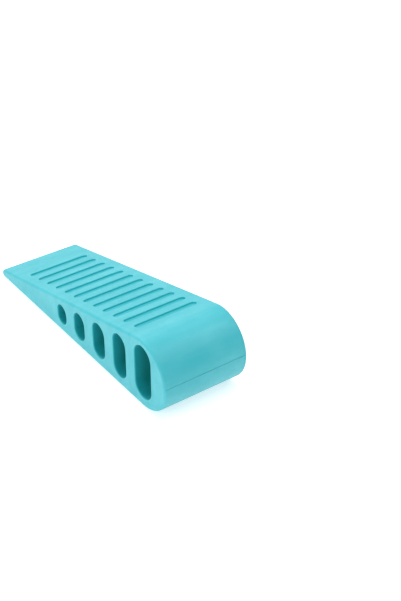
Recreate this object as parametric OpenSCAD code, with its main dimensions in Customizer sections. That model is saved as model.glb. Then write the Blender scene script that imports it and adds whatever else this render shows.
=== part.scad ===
/* [Body] */
// Overall length, nose tip to heel
length = 140; // [138:1:143]
// Width across the wedge
width = 41.5; // [36:0.5:50]
// Height of the heel, which is twice its radius
heel_h = 33.4; // [32.4:0.1:36]
// Thickness of the nose, before it is rounded
nose_t = 3.4; // [3:0.1:5]
// Radius of the side edges, all the way round
edge_r = 1.2; // [0.4:0.1:1.4]

/* [Side slots] */
// Middle of each slot, measured from the nose tip
slot_x = [57.9, 73.1, 89.3, 105.9, 123.5]; // [57:0.1:125]
// Width of each slot, from its nose side to its heel side
slot_w = [7.4, 8.6, 9.5, 9.7, 11.8]; // [4:0.1:11.8]
// Wall left under every slot
slot_floor = 4.3; // [4:0.1:4.6]
// Wall left between the top of a slot and the sloping face
slot_roof = 3.6; // [3.2:0.1:3.8]
// Bevel round the mouths of the slots
slot_bevel = 0.7; // [0.2:0.1:0.8]

/* [Grip grooves] */
// Number of grooves across the sloping face
groove_count = 12; // [1:1:12]
// Middle of the first groove, measured from the nose tip
groove_start = 20.2; // [12:0.1:22]
// Distance between grooves, measured along the floor
groove_pitch = 8.25; // [5:0.05:8.3]
// Length of a groove, from end to end
groove_length = 30.8; // [16:0.2:32]
// Width of a groove
groove_w = 3.6; // [1.4:0.1:3.8]
// Depth of a groove
groove_depth = 0.8; // [0.4:0.1:1.4]

/* [Hidden] */
$fn = 96;

heel_r = heel_h / 2;
heel_x = length - heel_r;
slope = atan2(heel_r - nose_t, heel_x) + asin(heel_r / norm([heel_x, heel_r - nose_t]));
nose_r = nose_t * cos(slope) / (1 + cos(slope) - sin(slope));
heel_centre = [heel_x, heel_r];
nose_centre = [nose_r, nose_r];
straight = heel_x - nose_r;
uphill = [-sin(slope), cos(slope)];

// How far a cutter reaches past the surface that it cuts
over = 1;
// How far two cutters overlap where they follow on from each other
lap = 0.2;
// How deep a rounding bites into a face, so that the two cross cleanly and don't just touch
bite = 0.002;

// Height of the sloping face at a distance x from the nose tip
function face_z(x) = nose_t + x * tan(slope);

// Side view of the wedge: a nose circle, a heel circle, and the floor and slope that join them
module side_view() {
    translate(nose_centre)
        circle(nose_r);
    translate(heel_centre)
        circle(heel_r);
    polygon([
        [nose_r, 0],
        [heel_x, 0],
        heel_centre + (heel_r - bite) * uphill,
        nose_centre + (nose_r - bite) * uphill
    ]);
}

// Wedge with square side edges, its floor at z = 0 and its nose tip at x = 0
module blank() {
    rotate([90, 0, 0])
        linear_extrude(height = width, center = true)
            side_view();
}

// What a rounded edge loses, in cross-section, with the square corner at the origin
module edge_waste() {
    inset = 2 * bite - edge_r;
    translate([inset, inset])
        difference() {
            square(edge_r + over);
            circle(edge_r);
        }
}

// Edge waste along the top of a straight stretch that starts at the origin and runs towards +X
module straight_waste() {
    translate([-lap, width / 2, 0])
        rotate([90, 0, 90])
            linear_extrude(height = straight + 2 * lap)
                edge_waste();
}

// Edge waste round a circle of the side view, between two angles measured from +X towards +Z
module round_waste(centre, radius, from, to) {
    translate([centre[0], 0, centre[1]])
        rotate([-90, 0, 0])
            rotate_extrude(start = -to, angle = to - from)
                translate([radius, width / 2])
                    edge_waste();
}

// Edge waste of the +Y side, all the way round the side view
module side_waste() {
    slope_start = nose_centre + nose_r * uphill;
    translate([nose_r, 0, 0])
        mirror([0, 0, 1])
            straight_waste();
    translate([slope_start[0], 0, slope_start[1]])
        rotate([0, -slope, 0])
            straight_waste();
    round_waste(heel_centre, heel_r, -90, 90 + slope);
    round_waste(nose_centre, nose_r, 90 + slope, 270);
}

// Slot outline with round ends, centred
module stadium(w, h) {
    square([w, h - w], center = true);
    for (end = [-1, 1])
        translate([0, end * (h - w) / 2])
            circle(w / 2);
}

// Bevelled mouth of a slot: it starts narrower than the slot and widens out of the side
module slot_mouth(w, h) {
    inner = w / 2 - slot_bevel;
    outer = w / 2 + 2 * slot_bevel;
    deep = 3 * slot_bevel;
    for (end = [-1, 1])
        translate([0, end * (h - w) / 2, 0])
            cylinder(h = deep, r1 = inner, r2 = outer);
    rotate([90, 0, 0])
        linear_extrude(height = h - w, center = true)
            polygon([[-inner, 0], [inner, 0], [outer, deep], [-outer, deep]]);
}

// One slot, right through the wedge from side to side
module slot(x, w) {
    h = face_z(x) - slot_roof / cos(slope) - slot_floor;
    translate([x, 0, slot_floor + h / 2])
        rotate([90, 0, 0]) {
            linear_extrude(height = width + 2 * over, center = true)
                stadium(w, h);
            for (side = [0, 1])
                mirror([0, 0, side])
                    translate([0, 0, width / 2 - 2 * slot_bevel])
                        slot_mouth(w, h);
        }
}

// One grip groove across the sloping face
module groove(x) {
    translate([x, 0, face_z(x)])
        rotate([0, -slope, 0])
            translate([0, 0, -groove_depth])
                linear_extrude(height = groove_depth + over)
                    stadium(groove_w, groove_length);
}

// The whole moulding, with its origin on the floor under the middle of its length and width
module wedge_body() {
    color("mediumturquoise")
        translate([-length / 2, 0, 0])
            difference() {
                blank();
                for (side = [0, 1])
                    mirror([0, side, 0])
                        side_waste();
                for (i = [0 : len(slot_x) - 1])
                    slot(slot_x[i], slot_w[i]);
                for (i = [0 : groove_count - 1])
                    groove(groove_start + i * groove_pitch);
            }
}

wedge_body();
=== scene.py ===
"""A door wedge moulded in one piece of turquoise rubber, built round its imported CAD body."""

import math

import bpy
import numpy as np
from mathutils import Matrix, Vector
from mathutils.geometry import delaunay_2d_cdt


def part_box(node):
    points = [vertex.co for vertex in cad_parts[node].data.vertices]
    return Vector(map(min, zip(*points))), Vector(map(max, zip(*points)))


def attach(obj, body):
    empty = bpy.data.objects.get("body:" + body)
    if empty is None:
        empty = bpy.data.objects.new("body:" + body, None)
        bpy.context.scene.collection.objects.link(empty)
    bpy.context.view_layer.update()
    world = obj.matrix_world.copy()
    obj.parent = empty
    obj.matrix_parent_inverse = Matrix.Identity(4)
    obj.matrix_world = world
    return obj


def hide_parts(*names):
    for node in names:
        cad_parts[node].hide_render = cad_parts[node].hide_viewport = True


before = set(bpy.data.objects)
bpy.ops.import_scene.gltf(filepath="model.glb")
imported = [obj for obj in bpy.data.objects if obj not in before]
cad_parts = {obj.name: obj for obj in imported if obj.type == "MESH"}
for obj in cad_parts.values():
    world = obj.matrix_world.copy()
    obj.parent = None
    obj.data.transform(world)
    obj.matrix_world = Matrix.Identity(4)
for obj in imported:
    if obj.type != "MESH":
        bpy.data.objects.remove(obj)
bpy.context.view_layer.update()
MM = 0.001

# ---------------------------------------------------------------- sizes, in millimetres

LOW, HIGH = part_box("wedge_body")
LENGTH, WIDTH, HEIGHT = (round((high - low) / MM, 1) for low, high in zip(LOW, HIGH))
NOSE_T = 3.4                # thickness of the nose before it is rounded
EDGE_R = 1.2                # radius of the side edges

SLOT_X = (57.9, 73.1, 89.3, 105.9, 123.5)   # middle of each side slot, from the nose tip
SLOT_W = (7.4, 8.6, 9.5, 9.7, 11.8)         # width of each slot
SLOT_FLOOR = 4.3            # wall under the slots
SLOT_ROOF = 3.6             # wall between the slots and the sloping face
SLOT_LIP_R = 0.9            # radius round the mouth of a slot

GROOVE_COUNT = 12
GROOVE_START = 20.2         # middle of the first groove, from the nose tip
GROOVE_PITCH = 8.25         # from groove to groove, along the floor
GROOVE_LENGTH = 30.8
GROOVE_W = 3.6
GROOVE_DEPTH = 0.8
GROOVE_RIM_R = 0.2          # radius where a groove's wall meets the sloping face
GROOVE_ROOT_R = 0.15        # radius where a groove's wall meets its floor
GROOVE_DRAFT = math.radians(4)      # how far a groove's wall leans back

SEAM_Z = 18.45              # height of the mould's parting line on the heel
SEAM_W = 0.6                # width of the parting line
SEAM_DEPTH = 0.25           # depth of the parting line

# ---------------------------------------------------------------- how finely things are divided

LINE_STEPS = 48             # along the floor and the slope
HEEL_STEPS = 72             # round the heel
NOSE_STEPS = 20             # round the nose
SEAM_STEPS = 8              # across the parting line
ACROSS_STEPS = 18           # from side to side
EDGE_STEPS = 8              # round a side edge
GROOVE_END_STEPS = 14       # round each end of a groove
GROOVE_SIDE_STEPS = 12      # along each side of a groove
GROOVE_RADIUS_STEPS = 5     # rows of points across a groove's rim and across its root
SLOT_END_STEPS = 24         # round each end of a slot
SLOT_LIP_STEPS = 6          # rows of points across the mouth of a slot
SLOT_WALL_STEPS = 8         # rows of points from the mouth to the middle of the wedge
GRID = 2.4                  # spacing of the points inside a flat face
CLEARANCE = 0.45            # how near such a point may come to a border, as a share of the spacing
WELD = 1e-5                 # points this close, in millimetres, are one vertex
TOUCHING = 1e-7             # points this close are one when a flat face is divided
WITHIN_BORDERS = 1          # the kind of division that stays within the borders

# ---------------------------------------------------------------- the side view

HEEL_R = HEIGHT / 2
HEEL = np.array([LENGTH / 2 - HEEL_R, HEEL_R])
RISE = HEEL_R - NOSE_T
RUN = LENGTH - HEEL_R
SLOPE = math.atan2(RISE, RUN) + math.asin(HEEL_R / math.hypot(RUN, RISE))
NOSE_R = NOSE_T * math.cos(SLOPE) / (1 + math.cos(SLOPE) - math.sin(SLOPE))
NOSE = np.array([-LENGTH / 2 + NOSE_R, NOSE_R])
UPHILL = np.array([math.cos(SLOPE), math.sin(SLOPE)])
SLOPE_NORMAL = np.array([-math.sin(SLOPE), math.cos(SLOPE)])
SEAM_ANGLE = math.asin((SEAM_Z - HEEL_R) / HEEL_R)
SEAM_HALF = SEAM_W / 2 / HEEL_R
FACE_Y = WIDTH / 2 - EDGE_R     # where the rounding of a side edge begins


def face_z(x):
    """Height of the sloping face at a distance x from the nose tip."""
    return NOSE_T + x * math.tan(SLOPE)


def seam(angle):
    """Depth of the parting line at an angle round the heel, and how fast it changes along the heel."""
    t = (angle - SEAM_ANGLE) / SEAM_HALF
    if abs(t) >= 1:
        return 0.0, 0.0
    depth = SEAM_DEPTH * (1 + math.cos(math.pi * t)) / 2
    change = -SEAM_DEPTH * math.pi / 2 * math.sin(math.pi * t) / (SEAM_W / 2)
    return depth, change


def line_stations(start, end, normal):
    """Stations on a straight stretch, without its end.

    A station is a point, its normal and tangent, the parting line's depth there and how fast that changes.
    """
    along = (end - start) / np.linalg.norm(end - start)
    shares = np.arange(LINE_STEPS) / LINE_STEPS
    return [(start + s * (end - start), normal, along, 0.0, 0.0) for s in shares]


def arc_stations(centre, radius, angles, has_seam):
    """Stations round an arc, at the given angles."""
    stations = []
    for a in angles:
        normal = np.array([math.cos(a), math.sin(a)])
        along = np.array([-math.sin(a), math.cos(a)])
        depth, change = seam(a) if has_seam else (0.0, 0.0)
        stations.append((centre + radius * normal, normal, along, depth, change))
    return stations


def spread(start, end, steps):
    """Values from start towards end in equal steps, without end."""
    return list(np.linspace(start, end, steps + 1)[:-1])


def side_view():
    """All stations round the wedge, and the index at which each stretch starts."""
    heel_top = math.pi / 2 + SLOPE
    seam_low, seam_high = SEAM_ANGLE - SEAM_HALF, SEAM_ANGLE + SEAM_HALF
    below = round(HEEL_STEPS * (seam_low + math.pi / 2) / (heel_top + math.pi / 2))
    heel_angles = spread(-math.pi / 2, seam_low, below)
    heel_angles += spread(seam_low, seam_high, SEAM_STEPS)
    heel_angles += spread(seam_high, heel_top, HEEL_STEPS - below)
    nose_angles = spread(heel_top, 3 * math.pi / 2, NOSE_STEPS)
    down = np.array([0.0, -1.0])
    stretches = {
        "floor": line_stations(NOSE + NOSE_R * down, HEEL + HEEL_R * down, down),
        "heel": arc_stations(HEEL, HEEL_R, heel_angles, True),
        "slope": line_stations(HEEL + HEEL_R * SLOPE_NORMAL, NOSE + NOSE_R * SLOPE_NORMAL, SLOPE_NORMAL),
        "nose": arc_stations(NOSE, NOSE_R, nose_angles, False),
    }
    stations, starts = [], {}
    for name, stretch in stretches.items():
        starts[name] = len(stations)
        stations += stretch
    return stations, starts


# ---------------------------------------------------------------- mesh building


class Skin:
    """A closed skin of welded vertices, each with its own normal and its depth inside a slot or groove."""

    def __init__(self):
        self.points, self.normals, self.depths, self.faces, self.known = [], [], [], [], {}

    def vertex(self, point, normal, depth=0.0):
        key = tuple(round(c / WELD) for c in point)
        if key not in self.known:
            self.known[key] = len(self.points)
            self.points.append(np.array(point, float))
            self.normals.append(np.array(normal, float) / np.linalg.norm(normal))
            self.depths.append(depth)
        return self.known[key]

    def face(self, corners):
        """Adds a face, turned to face the way its vertices' normals do."""
        p = [self.points[i] for i in corners]
        normal = sum(np.cross(p[k] - p[0], p[k + 1] - p[0]) for k in range(1, len(p) - 1))
        outward = sum(self.normals[i] for i in corners)
        self.faces.append(list(corners) if normal @ outward > 0 else list(corners)[::-1])

    def strip(self, first, second, closed):
        """Quads between two rows of vertices."""
        count = len(first)
        for k in range(count if closed else count - 1):
            n = (k + 1) % count
            self.face([first[k], first[n], second[n], second[k]])

    def rows(self, rows, closed):
        for first, second in zip(rows, rows[1:]):
            self.strip(first, second, closed)

    def mesh(self, name):
        mesh = bpy.data.meshes.new(name)
        mesh.from_pydata([Vector(p) * MM for p in self.points], [], self.faces)
        mesh.shade_smooth()
        mesh.normals_split_custom_set_from_vertices([Vector(n) for n in self.normals])
        mesh.attributes.new("depth", "FLOAT", "POINT").data.foreach_set("value", self.depths)
        return mesh


def inside(points, loop):
    """Which points lie inside a closed loop."""
    x, y = points[:, 0], points[:, 1]
    result = np.zeros(len(points), bool)
    for (ax, ay), (bx, by) in zip(loop, np.roll(loop, -1, axis=0)):
        if ay != by:
            result ^= ((ay > y) != (by > y)) & (x < (bx - ax) * (y - ay) / (by - ay) + ax)
    return result


def fill(skin, loops, flatten, lift, normal, depth=0.0):
    """Triangulates a flat face. loops[0] is its outline and the others are holes, as rows of vertices."""
    flat = [np.array([flatten(skin.points[i]) for i in loop]) for loop in loops]
    border = np.concatenate(flat)
    low, high = flat[0].min(0), flat[0].max(0)
    row_gap = GRID * math.sqrt(3) / 2
    grid = []
    for row, b in enumerate(np.arange(low[1] + row_gap / 2, high[1], row_gap)):
        for a in np.arange(low[0] + (row % 2) * GRID / 2, high[0], GRID):
            grid.append((a, b))
    grid = np.array(grid)
    keep = inside(grid, flat[0])
    for hole in flat[1:]:
        keep &= ~inside(grid, hole)
    near = np.min(np.linalg.norm(grid[:, None] - border[None], axis=2), axis=1)
    grid = grid[keep & (near > CLEARANCE * GRID)]
    coords = [Vector(c) for c in np.concatenate([border, grid])]
    corners = [i for loop in loops for i in loop]
    edges, start = [], 0
    for loop in loops:
        count = len(loop)
        edges += [(start + k, start + (k + 1) % count) for k in range(count)]
        start += count
    out, _, triangles, origin, _, _ = delaunay_2d_cdt(coords, edges, [], WITHIN_BORDERS, TOUCHING)
    index = []
    for point, source in zip(out, origin):
        known = [s for s in source if s < len(corners)]
        index.append(corners[known[0]] if known else skin.vertex(lift(*point), normal, depth))
    middles = np.array([np.mean([out[i] for i in t], axis=0) for t in triangles])
    solid = inside(middles, flat[0])
    for hole in flat[1:]:
        solid &= ~inside(middles, hole)
    for triangle, wanted in zip(triangles, solid):
        if wanted:
            skin.face([index[i] for i in triangle])


def stadium(half_s, arc_steps, side_steps):
    """Points round a stadium, as pairs of the end's middle and the direction from there to the wall."""
    ring = []
    for end in (1, -1):
        start = 0 if end > 0 else math.pi
        for k in range(arc_steps + 1):
            a = start + math.pi * k / arc_steps
            ring.append((np.array([0.0, end * half_s]), np.array([math.cos(a), math.sin(a)])))
        for k in range(1, side_steps):
            b = end * half_s * (1 - 2 * k / side_steps)
            ring.append((np.array([0.0, b]), np.array([-float(end), 0.0])))
    return ring


def recess(skin, origin, axes, half_w, half_s, path, arc_steps, side_steps):
    """Walls of a stadium-shaped recess. Returns the rows of vertices.

    axes are its width, length and outward axes. path lists how far the wall stands outside half_w, its
    depth and its tilt from the open face.
    """
    across, along, out = axes
    ring = stadium(half_s, arc_steps, side_steps)
    rows = []
    for offset, depth, tilt in path:
        row = []
        for base, direction in ring:
            a, b = base + (half_w + offset) * direction
            point = origin + a * across + b * along - depth * out
            inward = -(direction[0] * across + direction[1] * along)
            row.append(skin.vertex(point, math.cos(tilt) * out + math.sin(tilt) * inward, depth))
        rows.append(row)
    skin.rows(rows, closed=True)
    return rows


# ---------------------------------------------------------------- the wedge's surfaces


def outline_row(skin, stations, y, inset, share):
    """Vertices at every station for one step of a side edge's rounding.

    share is how much of it still faces outward.
    """
    row = []
    sideways = math.copysign(math.sqrt(1 - share * share), y) if share < 1 else 0.0
    for point, normal, along, depth, change in stations:
        faded = depth * share ** 2
        tilted = normal + change * share ** 2 * along
        tilted = tilted / np.linalg.norm(tilted)
        x, z = point - (inset + faded) * normal
        n = share * tilted
        row.append(skin.vertex((x, y, z), (n[0], sideways, n[1])))
    return row


def side_edges(skin, stations):
    """The rounded edges of both sides. Returns the last row of each, where the flat side begins."""
    borders = {}
    for side in (-1, 1):
        rows = []
        for k in range(EDGE_STEPS + 1):
            turn = math.pi / 2 * k / EDGE_STEPS
            share = math.cos(turn) if k < EDGE_STEPS else 0.0
            y = side * (FACE_Y + EDGE_R * math.sin(turn))
            rows.append(outline_row(skin, stations, y, EDGE_R * (1 - share), share))
        skin.rows(rows, closed=True)
        borders[side] = rows[-1]
    return borders


def bands(skin, stations, starts):
    """The floor, heel and nose, from one side edge to the other."""
    levels = np.linspace(-FACE_Y, FACE_Y, ACROSS_STEPS + 1)
    ring = stations + stations[:1]
    ends = {"floor": starts["heel"], "heel": starts["slope"], "nose": len(stations)}
    for name, end in ends.items():
        stretch = ring[starts[name]:end + 1]
        skin.rows([outline_row(skin, stretch, y, 0.0, 1.0) for y in levels], closed=False)


def slope_frame():
    """Origin and axes of the sloping face: its start above the nose tip, uphill, across and outward."""
    origin = np.array([-LENGTH / 2, 0.0, NOSE_T])
    along = np.array([UPHILL[0], 0.0, UPHILL[1]])
    out = np.array([SLOPE_NORMAL[0], 0.0, SLOPE_NORMAL[1]])
    return origin, along, np.array([0.0, 1.0, 0.0]), out


def groove_path():
    """Cross-section of a grip groove's wall, from the sloping face down to the groove's floor."""
    steep = math.pi / 2 - GROOVE_DRAFT
    wall = GROOVE_DEPTH - (GROOVE_RIM_R + GROOVE_ROOT_R) * (1 - math.cos(steep))
    rim_in = GROOVE_RIM_R * math.sin(steep)
    foot_offset = -wall / math.tan(steep)
    foot_depth = GROOVE_RIM_R * (1 - math.cos(steep)) + wall
    path = []
    for t in np.linspace(0, steep, GROOVE_RADIUS_STEPS):
        path.append((rim_in - GROOVE_RIM_R * math.sin(t), GROOVE_RIM_R * (1 - math.cos(t)), t))
    for t in np.linspace(steep, 0, GROOVE_RADIUS_STEPS):
        inward = GROOVE_ROOT_R * (math.sin(steep) - math.sin(t))
        down = GROOVE_ROOT_R * (math.cos(t) - math.cos(steep))
        path.append((foot_offset - inward, foot_depth + down, t))
    return path


def sloping_face(skin, stations, starts):
    """The sloping face and its grip grooves."""
    origin, along, across, out = slope_frame()
    stretch = stations[starts["slope"]:starts["nose"] + 1]
    levels = np.linspace(-FACE_Y, FACE_Y, ACROSS_STEPS + 1)
    near, far = (outline_row(skin, stretch, y, 0.0, 1.0) for y in (-FACE_Y, FACE_Y))
    nose_end = [outline_row(skin, stretch[-1:], y, 0.0, 1.0)[0] for y in levels]
    heel_end = [outline_row(skin, stretch[:1], y, 0.0, 1.0)[0] for y in levels]
    border = near + nose_end[1:-1] + far[::-1] + heel_end[::-1][1:-1]

    def flatten(point):
        return (point - origin) @ along, point[1]

    def lift(a, b):
        return origin + a * along + b * across

    holes = []
    axes = (along, across, out)
    half_w, half_s = GROOVE_W / 2, (GROOVE_LENGTH - GROOVE_W) / 2
    for k in range(GROOVE_COUNT):
        distance = (GROOVE_START + k * GROOVE_PITCH) / math.cos(SLOPE)
        middle = origin + distance * along
        rows = recess(skin, middle, axes, half_w, half_s, groove_path(), GROOVE_END_STEPS, GROOVE_SIDE_STEPS)
        fill(skin, [rows[-1]], flatten, lambda a, b: lift(a, b) - GROOVE_DEPTH * out, out, GROOVE_DEPTH)
        holes.append(rows[0])
    fill(skin, [border] + holes, flatten, lift, out)


def slot_path():
    """Cross-section of a side slot's wall, from the side of the wedge to the middle of its width."""
    path = []
    for t in np.linspace(0, math.pi / 2, SLOT_LIP_STEPS):
        path.append((SLOT_LIP_R * (1 - math.sin(t)), SLOT_LIP_R * (1 - math.cos(t)), t))
    for depth in np.linspace(SLOT_LIP_R, WIDTH / 2, SLOT_WALL_STEPS)[1:]:
        path.append((0.0, depth, math.pi / 2))
    return path


def sides_and_slots(skin, borders):
    """Both flat sides, and the slots that run from one to the other."""
    across, up = np.array([1.0, 0.0, 0.0]), np.array([0.0, 0.0, 1.0])
    for side, border in borders.items():
        out = np.array([0.0, float(side), 0.0])
        axes = (across, up, out)
        face_y = side * WIDTH / 2
        mouths = []
        for x, w in zip(SLOT_X, SLOT_W):
            height = face_z(x) - SLOT_ROOF / math.cos(SLOPE) - SLOT_FLOOR
            middle = np.array([x - LENGTH / 2, face_y, SLOT_FLOOR + height / 2])
            half_s = (height - w) / 2
            side_steps = max(2, round(half_s))
            rows = recess(skin, middle, axes, w / 2, half_s, slot_path(), SLOT_END_STEPS, side_steps)
            mouths.append(rows[0])
        fill(skin, [border] + mouths, lambda p: (p[0], p[2]), lambda a, b, y=face_y: (a, y, b), out)


def wedge():
    skin = Skin()
    stations, starts = side_view()
    borders = side_edges(skin, stations)
    bands(skin, stations, starts)
    sloping_face(skin, stations, starts)
    sides_and_slots(skin, borders)
    piece = bpy.data.objects.new("moulded_rubber_wedge", skin.mesh("moulded_rubber_wedge"))
    return add(piece)


# ---------------------------------------------------------------- materials


def node_material(name):
    material = bpy.data.materials.new(name)
    material.use_nodes = True
    tree = material.node_tree
    return material, tree, tree.nodes["Principled BSDF"]


def noise(tree, place, feature, detail, stretch=(1, 1, 1)):
    """Noise with features about this many millimetres across, stretched along the object's axes."""
    mapping = tree.nodes.new("ShaderNodeMapping")
    mapping.inputs["Scale"].default_value = [1 / (s * feature * MM) for s in stretch]
    tree.links.new(place.outputs["Object"], mapping.inputs["Vector"])
    texture = tree.nodes.new("ShaderNodeTexNoise")
    texture.inputs["Scale"].default_value = 1
    texture.inputs["Detail"].default_value = detail
    tree.links.new(mapping.outputs["Vector"], texture.inputs["Vector"])
    return texture.outputs["Fac"]


def spread_to(tree, value, low, high, start=0.3, end=0.7):
    """Maps a noise value from start..end to low..high."""
    node = tree.nodes.new("ShaderNodeMapRange")
    for name, number in zip(("From Min", "From Max", "To Min", "To Max"), (start, end, low, high)):
        node.inputs[name].default_value = number
    tree.links.new(value, node.inputs["Value"])
    return node.outputs["Result"]


def mix_colours(tree, share, first, second):
    """Blends two colours; each is a fixed colour or another node's output."""
    node = tree.nodes.new("ShaderNodeMix")
    node.data_type = "RGBA"
    tree.links.new(share, node.inputs["Factor"])
    for name, colour in (("A", first), ("B", second)):
        socket = [s for s in node.inputs if s.name == name and s.type == "RGBA"][0]
        if isinstance(colour, tuple):
            socket.default_value = (*colour, 1)
        else:
            tree.links.new(colour, socket)
    return [s for s in node.outputs if s.type == "RGBA"][0]


def bump(tree, height, distance, strength, under=None):
    """Bump of this depth in millimetres, on top of another bump's normal."""
    node = tree.nodes.new("ShaderNodeBump")
    node.inputs["Distance"].default_value = distance * MM
    node.inputs["Strength"].default_value = strength
    tree.links.new(height, node.inputs["Height"])
    if under:
        tree.links.new(under, node.inputs["Normal"])
    return node.outputs["Normal"]


# The faint red in these outer colours stands in partly for the whitish sheen of the outer skin, a painted
# reflection; the recess colours leave it out.
RUBBER = (0.045, 0.50, 0.575)
RUBBER_PALE = (0.08, 0.55, 0.625)
RUBBER_DEEP = (0.025, 0.455, 0.53)
# A painted highlight for the rims, then painted shade for a recess and for deep inside a slot.
RUBBER_RIM_HIGHLIGHT = (0.12, 0.64, 0.70)
RUBBER_RECESS_SHADE = (0.004, 0.42, 0.485)
RUBBER_SLOT_SHADE = (0.0, 0.31, 0.315)

# Painted light and shade that take over inside a slot or groove: a painted highlight on the rims and painted
# shade deeper in. Each has its share, and the depths in millimetres at which it starts and is full.
RECESS_LIGHT_AND_SHADE = (
    (RUBBER_RIM_HIGHLIGHT, 0.7, 0.0, 0.1),        # the rim, a painted highlight
    (RUBBER_RECESS_SHADE, 1, 0.15, 0.5),       # painted shade on a groove's floor and just inside a slot's mouth
    (RUBBER_SLOT_SHADE, 1, 0.9, 5.5),         # painted shade well inside a slot
)


def rubber():
    """Matt turquoise rubber: cloudy colour, a painted highlight on the rims, painted shade in the recesses
    and a fine moulded grain.
    """
    material, tree, shader = node_material("turquoise_rubber")
    place = tree.nodes.new("ShaderNodeTexCoord")
    clouds = noise(tree, place, 14, 3)
    flow = noise(tree, place, 9, 4, (0.6, 2.2, 1))
    grain = noise(tree, place, 0.5, 2)
    dimples = noise(tree, place, 1.6, 3)
    colour = mix_colours(tree, spread_to(tree, clouds, 0, 1), RUBBER, RUBBER_PALE)
    colour = mix_colours(tree, spread_to(tree, flow, 0, 0.7), colour, RUBBER_DEEP)
    depth = tree.nodes.new("ShaderNodeAttribute")
    depth.attribute_name = "depth"
    # painted highlight on the rims and painted shade in the slots and grooves, by depth
    for painted_colour, share, start, full in RECESS_LIGHT_AND_SHADE:
        reached = spread_to(tree, depth.outputs["Fac"], 0, share, start, full)
        colour = mix_colours(tree, reached, colour, painted_colour)
    tree.links.new(colour, shader.inputs["Base Color"])
    tree.links.new(spread_to(tree, dimples, 0.44, 0.56), shader.inputs["Roughness"])
    fine = bump(tree, grain, 0.04, 0.6)
    tree.links.new(bump(tree, dimples, 0.08, 0.6, fine), shader.inputs["Normal"])
    shader.inputs["IOR"].default_value = 1.52
    shader.inputs["Subsurface Weight"].default_value = 0.08
    shader.inputs["Subsurface Radius"].default_value = (0.2, 1.0, 1.0)
    shader.inputs["Subsurface Scale"].default_value = 0.8 * MM
    shader.inputs["Sheen Weight"].default_value = 0.1
    shader.inputs["Sheen Roughness"].default_value = 0.45
    shader.inputs["Sheen Tint"].default_value = (0.85, 1, 1, 1)
    return material


def floor_material():
    """Pale matt studio floor."""
    material, tree, shader = node_material("pale_floor")
    place = tree.nodes.new("ShaderNodeTexCoord")
    mottle = spread_to(tree, noise(tree, place, 30, 2), 0, 1)
    colour = mix_colours(tree, mottle, (0.68, 0.68, 0.68), (0.70, 0.70, 0.70))
    tree.links.new(colour, shader.inputs["Base Color"])
    shader.inputs["Roughness"].default_value = 0.9
    shader.inputs["Emission Color"].default_value = (1, 1, 1, 1)
    shader.inputs["Emission Strength"].default_value = 0.58
    return material


# ---------------------------------------------------------------- stage, lights and camera

FLOOR_REACH = 4             # metres from the wedge to each side of the floor
SOFTBOX_SIZE = 0.7          # metres along each side of a softbox


def direction(azimuth, elevation):
    """Unit vector from the wedge towards something at this azimuth from +X and this elevation."""
    a, e = math.radians(azimuth), math.radians(elevation)
    return Vector((math.cos(a) * math.cos(e), math.sin(a) * math.cos(e), math.sin(e)))


def add(obj):
    bpy.context.scene.collection.objects.link(obj)
    return obj


def camera():
    """Looks down along the wedge from beyond its heel. The target is on the floor, in mid-picture."""
    target = Vector((0.00449, 0.04434, 0))
    distance = 0.5364
    back = direction(-36.06, 34.13)
    data = bpy.data.cameras.new("camera")
    data.lens = 68.2
    data.sensor_width = 36
    data.clip_start = 0.01
    obj = add(bpy.data.objects.new("camera", data))
    obj.location = target + distance * back
    obj.rotation_euler = back.to_track_quat("Z", "Y").to_euler()
    bpy.context.scene.camera = obj


def softbox(name, azimuth, elevation, power):
    """Square soft light a metre from the wedge, facing it."""
    back = direction(azimuth, elevation)
    data = bpy.data.lights.new(name, "AREA")
    data.shape = "SQUARE"
    data.size = SOFTBOX_SIZE
    data.energy = power
    obj = add(bpy.data.objects.new(name, data))
    obj.location = back
    obj.rotation_euler = back.to_track_quat("Z", "Y").to_euler()


def studio_world():
    """Faint even light from all round, which the camera sees as a plain white room."""
    world = bpy.data.worlds.new("studio")
    world.use_nodes = True
    tree = world.node_tree
    faint = tree.nodes["Background"]
    faint.inputs["Color"].default_value = (1, 1, 1, 1)
    faint.inputs["Strength"].default_value = 0.2
    seen = tree.nodes.new("ShaderNodeBackground")
    seen.inputs["Color"].default_value = (1, 1, 1, 1)
    path = tree.nodes.new("ShaderNodeLightPath")
    mix = tree.nodes.new("ShaderNodeMixShader")
    tree.links.new(path.outputs["Is Camera Ray"], mix.inputs[0])
    tree.links.new(faint.outputs[0], mix.inputs[1])
    tree.links.new(seen.outputs[0], mix.inputs[2])
    tree.links.new(mix.outputs[0], tree.nodes["World Output"].inputs["Surface"])
    bpy.context.scene.world = world


def stage():
    """The floor, the room and the softboxes, in watts."""
    mesh = bpy.data.meshes.new("floor")
    corners = [(x * FLOOR_REACH, y * FLOOR_REACH, 0) for x, y in ((-1, -1), (1, -1), (1, 1), (-1, 1))]
    mesh.from_pydata(corners, [], [(0, 1, 2, 3)])
    mesh.materials.append(floor_material())
    add(bpy.data.objects.new("floor", mesh))
    studio_world()
    softbox("front_left", 283, 35, 4.5)
    softbox("rear_right", 50, 60, 4.6)
    softbox("rear", 150, 15, 1.1)
    softbox("high_left", 180, 55, 6.3)
    bpy.context.scene.view_settings.view_transform = "Standard"


camera()
stage()
piece = wedge()
piece.data.materials.append(rubber())
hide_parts("wedge_body")
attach(piece, "root")
